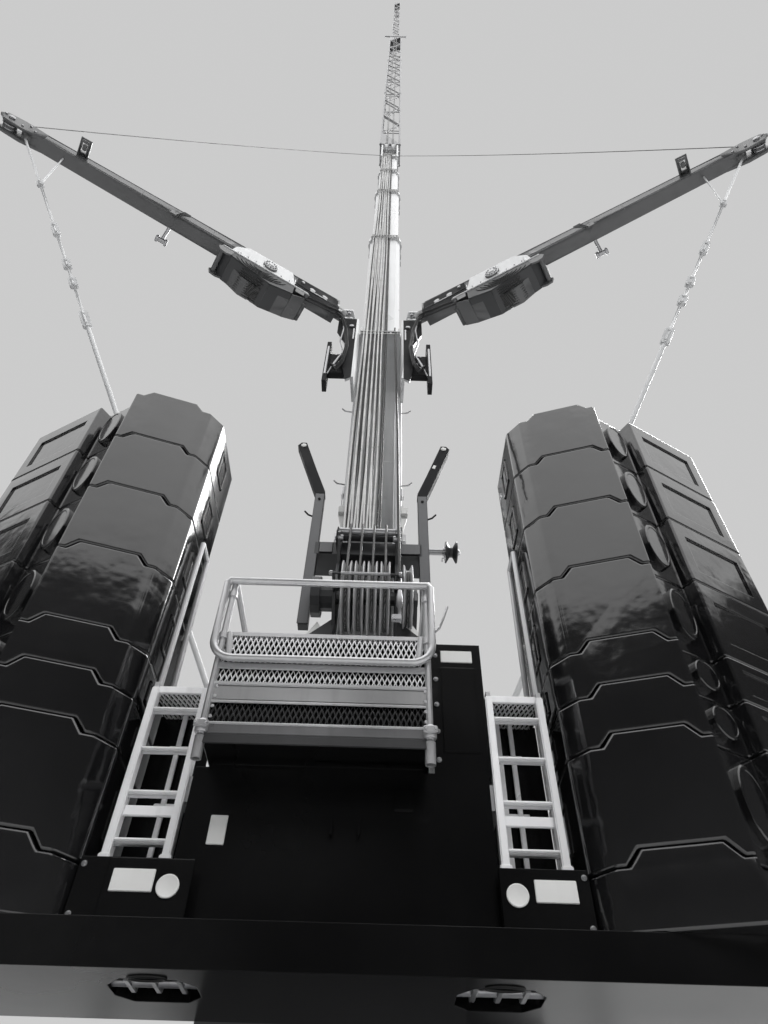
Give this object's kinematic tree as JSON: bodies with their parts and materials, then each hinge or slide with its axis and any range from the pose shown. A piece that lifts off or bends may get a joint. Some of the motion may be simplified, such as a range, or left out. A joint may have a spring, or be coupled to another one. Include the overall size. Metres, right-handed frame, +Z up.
{
  "type": "all-terrain mobile crane with a guyed telescopic boom, 1:10 scale model",
  "caption": "Telescopic mobile crane on a wheeled carrier, on its outriggers, with spread guying arms, a lattice extension and stacked counterweight; 1:10 scale model.",
  "frame": {"origin": "middle of the crane's footprint on the floor", "axes": "+Y towards the driver's cab, +X to the crane's right-hand side, +Z up"},
  "size_m": [1.4468, 1.6232, 9.3206],
  "materials": {
    "carrier_paint": "satin",
    "cab_paint": "gloss",
    "upper_paint": "satin",
    "weight_paint": "gloss",
    "boom_paint": "satin",
    "lattice_paint": "satin",
    "axle_iron": "matte",
    "engine_iron": "matte",
    "tyre_rubber": "matte",
    "walkway_aluminium": "satin",
    "drum_steel": "satin",
    "cylinder_paint": "satin",
    "rod_chrome": "polished",
    "jack_steel": "satin",
    "hook_paint": "satin",
    "sheave_paint": "satin"
  },
  "bodies": {
    "carrier": {"chassis_frame": "carrier_paint", "carrier_deck": "carrier_paint", "axle_beams": "axle_iron", "engine_block": "engine_iron", "driver_cab": "cab_paint"},
    "wheel_1_left": {"wheel_1_left": "tyre_rubber"},
    "knuckle_1_left": {"knuckle_1_left": "axle_iron"},
    "wheel_1_right": {"wheel_1_right": "tyre_rubber"},
    "knuckle_1_right": {"knuckle_1_right": "axle_iron"},
    "wheel_2_left": {"wheel_2_left": "tyre_rubber"},
    "knuckle_2_left": {"knuckle_2_left": "axle_iron"},
    "wheel_2_right": {"wheel_2_right": "tyre_rubber"},
    "knuckle_2_right": {"knuckle_2_right": "axle_iron"},
    "wheel_3_left": {"wheel_3_left": "tyre_rubber"},
    "knuckle_3_left": {"knuckle_3_left": "axle_iron"},
    "wheel_3_right": {"wheel_3_right": "tyre_rubber"},
    "knuckle_3_right": {"knuckle_3_right": "axle_iron"},
    "wheel_4_left": {"wheel_4_left": "tyre_rubber"},
    "wheel_4_right": {"wheel_4_right": "tyre_rubber"},
    "wheel_5_left": {"wheel_5_left": "tyre_rubber"},
    "knuckle_5_left": {"knuckle_5_left": "axle_iron"},
    "wheel_5_right": {"wheel_5_right": "tyre_rubber"},
    "knuckle_5_right": {"knuckle_5_right": "axle_iron"},
    "wheel_6_left": {"wheel_6_left": "tyre_rubber"},
    "knuckle_6_left": {"knuckle_6_left": "axle_iron"},
    "wheel_6_right": {"wheel_6_right": "tyre_rubber"},
    "knuckle_6_right": {"knuckle_6_right": "axle_iron"},
    "wheel_7_left": {"wheel_7_left": "tyre_rubber"},
    "knuckle_7_left": {"knuckle_7_left": "axle_iron"},
    "wheel_7_right": {"wheel_7_right": "tyre_rubber"},
    "knuckle_7_right": {"knuckle_7_right": "axle_iron"},
    "outrigger_beam_front_left": {"outrigger_beam_front_left": "carrier_paint"},
    "outrigger_jack_front_left": {"outrigger_jack_front_left": "jack_steel"},
    "outrigger_beam_front_right": {"outrigger_beam_front_right": "carrier_paint"},
    "outrigger_jack_front_right": {"outrigger_jack_front_right": "jack_steel"},
    "outrigger_beam_rear_left": {"outrigger_beam_rear_left": "carrier_paint"},
    "outrigger_jack_rear_left": {"outrigger_jack_rear_left": "jack_steel"},
    "outrigger_beam_rear_right": {"outrigger_beam_rear_right": "carrier_paint"},
    "outrigger_jack_rear_right": {"outrigger_jack_rear_right": "jack_steel"},
    "driver_door_left": {"driver_door_left": "cab_paint"},
    "driver_door_right": {"driver_door_right": "cab_paint"},
    "superstructure": {"superstructure_frame": "upper_paint", "counterweight_base": "weight_paint", "counterweight_stacks": "weight_paint", "rear_access": "walkway_aluminium"},
    "hoist_drum": {"hoist_drum": "drum_steel"},
    "crane_cab": {"crane_cab": "cab_paint"},
    "crane_cab_door": {"crane_cab_door": "cab_paint"},
    "boom": {"boom_base": "boom_paint", "rear_sheaves": "sheave_paint"},
    "luffing_barrel": {"luffing_barrel": "cylinder_paint"},
    "luffing_rod": {"luffing_rod": "rod_chrome"},
    "boom_section_1": {"boom_section_1": "boom_paint"},
    "boom_section_2": {"boom_section_2": "boom_paint"},
    "boom_section_3": {"boom_section_3": "boom_paint"},
    "boom_section_4": {"boom_section_4": "boom_paint", "boom_extension": "lattice_paint"},
    "hook_block": {"hook_block": "hook_paint"},
    "guying_arm_right": {"guying_arm_right": "boom_paint"},
    "guying_arm_left": {"guying_arm_left": "boom_paint"}
  },
  "joints": [
    {"name": "steer_1_left", "type": "hinge", "parent": "carrier", "child": "knuckle_1_left", "pos_m": [-0.1, 0.5566, 0.0845], "axis": [0, 0, 1], "range_deg": [-30, 30]},
    {"name": "spin_1_left", "type": "hinge", "parent": "knuckle_1_left", "child": "wheel_1_left", "pos_m": [-0.128, 0.5566, 0.0845], "axis": [1, 0, 0], "continuous": true},
    {"name": "steer_1_right", "type": "hinge", "parent": "carrier", "child": "knuckle_1_right", "pos_m": [0.1, 0.5566, 0.0845], "axis": [0, 0, 1], "range_deg": [-30, 30]},
    {"name": "spin_1_right", "type": "hinge", "parent": "knuckle_1_right", "child": "wheel_1_right", "pos_m": [0.128, 0.5566, 0.0845], "axis": [1, 0, 0], "continuous": true},
    {"name": "steer_2_left", "type": "hinge", "parent": "carrier", "child": "knuckle_2_left", "pos_m": [-0.1, 0.3916, 0.0845], "axis": [0, 0, 1], "range_deg": [-24, 24]},
    {"name": "spin_2_left", "type": "hinge", "parent": "knuckle_2_left", "child": "wheel_2_left", "pos_m": [-0.128, 0.3916, 0.0845], "axis": [1, 0, 0], "continuous": true},
    {"name": "steer_2_right", "type": "hinge", "parent": "carrier", "child": "knuckle_2_right", "pos_m": [0.1, 0.3916, 0.0845], "axis": [0, 0, 1], "range_deg": [-24, 24]},
    {"name": "spin_2_right", "type": "hinge", "parent": "knuckle_2_right", "child": "wheel_2_right", "pos_m": [0.128, 0.3916, 0.0845], "axis": [1, 0, 0], "continuous": true},
    {"name": "steer_3_left", "type": "hinge", "parent": "carrier", "child": "knuckle_3_left", "pos_m": [-0.1, 0.1316, 0.0845], "axis": [0, 0, 1], "range_deg": [-13.5, 13.5]},
    {"name": "spin_3_left", "type": "hinge", "parent": "knuckle_3_left", "child": "wheel_3_left", "pos_m": [-0.128, 0.1316, 0.0845], "axis": [1, 0, 0], "continuous": true},
    {"name": "steer_3_right", "type": "hinge", "parent": "carrier", "child": "knuckle_3_right", "pos_m": [0.1, 0.1316, 0.0845], "axis": [0, 0, 1], "range_deg": [-13.5, 13.5]},
    {"name": "spin_3_right", "type": "hinge", "parent": "knuckle_3_right", "child": "wheel_3_right", "pos_m": [0.128, 0.1316, 0.0845], "axis": [1, 0, 0], "continuous": true},
    {"name": "spin_4_left", "type": "hinge", "parent": "carrier", "child": "wheel_4_left", "pos_m": [-0.128, -0.0334, 0.0845], "axis": [1, 0, 0], "continuous": true},
    {"name": "spin_4_right", "type": "hinge", "parent": "carrier", "child": "wheel_4_right", "pos_m": [0.128, -0.0334, 0.0845], "axis": [1, 0, 0], "continuous": true},
    {"name": "steer_5_left", "type": "hinge", "parent": "carrier", "child": "knuckle_5_left", "pos_m": [-0.1, -0.1984, 0.0845], "axis": [0, 0, 1], "range_deg": [-7.5, 7.5]},
    {"name": "spin_5_left", "type": "hinge", "parent": "knuckle_5_left", "child": "wheel_5_left", "pos_m": [-0.128, -0.1984, 0.0845], "axis": [1, 0, 0], "continuous": true},
    {"name": "steer_5_right", "type": "hinge", "parent": "carrier", "child": "knuckle_5_right", "pos_m": [0.1, -0.1984, 0.0845], "axis": [0, 0, 1], "range_deg": [-7.5, 7.5]},
    {"name": "spin_5_right", "type": "hinge", "parent": "knuckle_5_right", "child": "wheel_5_right", "pos_m": [0.128, -0.1984, 0.0845], "axis": [1, 0, 0], "continuous": true},
    {"name": "steer_6_left", "type": "hinge", "parent": "carrier", "child": "knuckle_6_left", "pos_m": [-0.1, -0.3634, 0.0845], "axis": [0, 0, 1], "range_deg": [-15, 15]},
    {"name": "spin_6_left", "type": "hinge", "parent": "knuckle_6_left", "child": "wheel_6_left", "pos_m": [-0.128, -0.3634, 0.0845], "axis": [1, 0, 0], "continuous": true},
    {"name": "steer_6_right", "type": "hinge", "parent": "carrier", "child": "knuckle_6_right", "pos_m": [0.1, -0.3634, 0.0845], "axis": [0, 0, 1], "range_deg": [-15, 15]},
    {"name": "spin_6_right", "type": "hinge", "parent": "knuckle_6_right", "child": "wheel_6_right", "pos_m": [0.128, -0.3634, 0.0845], "axis": [1, 0, 0], "continuous": true},
    {"name": "steer_7_left", "type": "hinge", "parent": "carrier", "child": "knuckle_7_left", "pos_m": [-0.1, -0.5284, 0.0845], "axis": [0, 0, 1], "range_deg": [-24, 24]},
    {"name": "spin_7_left", "type": "hinge", "parent": "knuckle_7_left", "child": "wheel_7_left", "pos_m": [-0.128, -0.5284, 0.0845], "axis": [1, 0, 0], "continuous": true},
    {"name": "steer_7_right", "type": "hinge", "parent": "carrier", "child": "knuckle_7_right", "pos_m": [0.1, -0.5284, 0.0845], "axis": [0, 0, 1], "range_deg": [-24, 24]},
    {"name": "spin_7_right", "type": "hinge", "parent": "knuckle_7_right", "child": "wheel_7_right", "pos_m": [0.128, -0.5284, 0.0845], "axis": [1, 0, 0], "continuous": true},
    {"name": "beam_slide_front_left", "type": "slide", "parent": "carrier", "child": "outrigger_beam_front_left", "axis": [-1, 0, 0], "range_m": [-0.24, 0]},
    {"name": "jack_slide_front_left", "type": "slide", "parent": "outrigger_beam_front_left", "child": "outrigger_jack_front_left", "axis": [0, 0, 1], "range_m": [0, 0.05]},
    {"name": "beam_slide_front_right", "type": "slide", "parent": "carrier", "child": "outrigger_beam_front_right", "axis": [1, 0, 0], "range_m": [-0.24, 0]},
    {"name": "jack_slide_front_right", "type": "slide", "parent": "outrigger_beam_front_right", "child": "outrigger_jack_front_right", "axis": [0, 0, 1], "range_m": [0, 0.05]},
    {"name": "beam_slide_rear_left", "type": "slide", "parent": "carrier", "child": "outrigger_beam_rear_left", "axis": [-1, 0, 0], "range_m": [-0.24, 0]},
    {"name": "jack_slide_rear_left", "type": "slide", "parent": "outrigger_beam_rear_left", "child": "outrigger_jack_rear_left", "axis": [0, 0, 1], "range_m": [0, 0.05]},
    {"name": "beam_slide_rear_right", "type": "slide", "parent": "carrier", "child": "outrigger_beam_rear_right", "axis": [1, 0, 0], "range_m": [-0.24, 0]},
    {"name": "jack_slide_rear_right", "type": "slide", "parent": "outrigger_beam_rear_right", "child": "outrigger_jack_rear_right", "axis": [0, 0, 1], "range_m": [0, 0.05]},
    {"name": "door_hinge_left", "type": "hinge", "parent": "carrier", "child": "driver_door_left", "pos_m": [-0.132, 0.7586, 0.104], "axis": [0, 0, 1], "range_deg": [-70, 0]},
    {"name": "door_hinge_right", "type": "hinge", "parent": "carrier", "child": "driver_door_right", "pos_m": [0.132, 0.7586, 0.104], "axis": [0, 0, 1], "range_deg": [0, 70]},
    {"name": "slew", "type": "hinge", "parent": "carrier", "child": "superstructure", "pos_m": [0, -0.2334, 0.2], "axis": [0, 0, 1], "continuous": true},
    {"name": "drum_turn", "type": "hinge", "parent": "superstructure", "child": "hoist_drum", "pos_m": [0, -0.5634, 0.29], "axis": [1, 0, 0], "continuous": true},
    {"name": "cab_tilt", "type": "hinge", "parent": "superstructure", "child": "crane_cab", "pos_m": [-0.118, -0.2494, 0.232], "axis": [1, 0, 0], "range_deg": [0, 15]},
    {"name": "cab_door_slide", "type": "slide", "parent": "crane_cab", "child": "crane_cab_door", "axis": [0, 1, 0], "range_m": [-0.07, 0]},
    {"name": "luff", "type": "hinge", "parent": "superstructure", "child": "boom", "pos_m": [0, -0.3414, 0.375], "axis": [1, 0, 0], "range_deg": [-89, 0]},
    {"name": "barrel_swing", "type": "hinge", "parent": "superstructure", "child": "luffing_barrel", "pos_m": [0, -0.0884, 0.272], "axis": [1, 0, 0], "range_deg": [-97.82, 0.01]},
    {"name": "rod_slide", "type": "slide", "parent": "luffing_barrel", "child": "luffing_rod", "axis": [0, -0.1845, 0.9828], "range_m": [-0.36906, 0.0001]},
    {"name": "extend_1", "type": "slide", "parent": "boom", "child": "boom_section_1", "axis": [0, 0.0175, 0.9998], "range_m": [-0.58, 0.35]},
    {"name": "extend_2", "type": "slide", "parent": "boom_section_1", "child": "boom_section_2", "axis": [0, 0.0175, 0.9998], "range_m": [-0.4234, 0.2555]},
    {"name": "extend_3", "type": "slide", "parent": "boom_section_2", "child": "boom_section_3", "axis": [0, 0.0175, 0.9998], "range_m": [-0.2233, 0.13475]},
    {"name": "extend_4", "type": "slide", "parent": "boom_section_3", "child": "boom_section_4", "axis": [0, 0.0175, 0.9998], "range_m": [-0.18328, 0.1106]},
    {"name": "hoist", "type": "slide", "parent": "boom_section_4", "child": "hook_block", "axis": [0, 0.0175, 0.9998], "range_m": [-0.5, 0]},
    {"name": "arm_spread_right", "type": "hinge", "parent": "boom", "child": "guying_arm_right", "pos_m": [0.077, -0.42292, 1.60661], "axis": [0, 0.0175, 0.9998], "range_deg": [-50, 0]},
    {"name": "arm_spread_left", "type": "hinge", "parent": "boom", "child": "guying_arm_left", "pos_m": [-0.077, -0.42292, 1.60661], "axis": [0, 0.0175, 0.9998], "range_deg": [0, 50]}
  ],
  "couplings": [
    {"joint": "steer_1_right", "follows": "steer_1_left", "ratio": 1},
    {"joint": "steer_2_left", "follows": "steer_1_left", "ratio": 0.8},
    {"joint": "steer_2_right", "follows": "steer_1_left", "ratio": 0.8},
    {"joint": "steer_3_left", "follows": "steer_1_left", "ratio": 0.45},
    {"joint": "steer_3_right", "follows": "steer_1_left", "ratio": 0.45},
    {"joint": "steer_5_left", "follows": "steer_1_left", "ratio": -0.25},
    {"joint": "steer_5_right", "follows": "steer_1_left", "ratio": -0.25},
    {"joint": "steer_6_left", "follows": "steer_1_left", "ratio": -0.5},
    {"joint": "steer_6_right", "follows": "steer_1_left", "ratio": -0.5},
    {"joint": "steer_7_left", "follows": "steer_1_left", "ratio": -0.8},
    {"joint": "steer_7_right", "follows": "steer_1_left", "ratio": -0.8},
    {"joint": "barrel_swing", "follows": "luff", "ratio": 1.099},
    {"joint": "rod_slide", "follows": "luff", "m_per_rad": 0.23753},
    {"joint": "extend_2", "follows": "extend_1", "ratio": 0.73},
    {"joint": "extend_3", "follows": "extend_1", "ratio": 0.385},
    {"joint": "extend_4", "follows": "extend_1", "ratio": 0.316},
    {"joint": "arm_spread_left", "follows": "arm_spread_right", "ratio": -1}
  ]
}
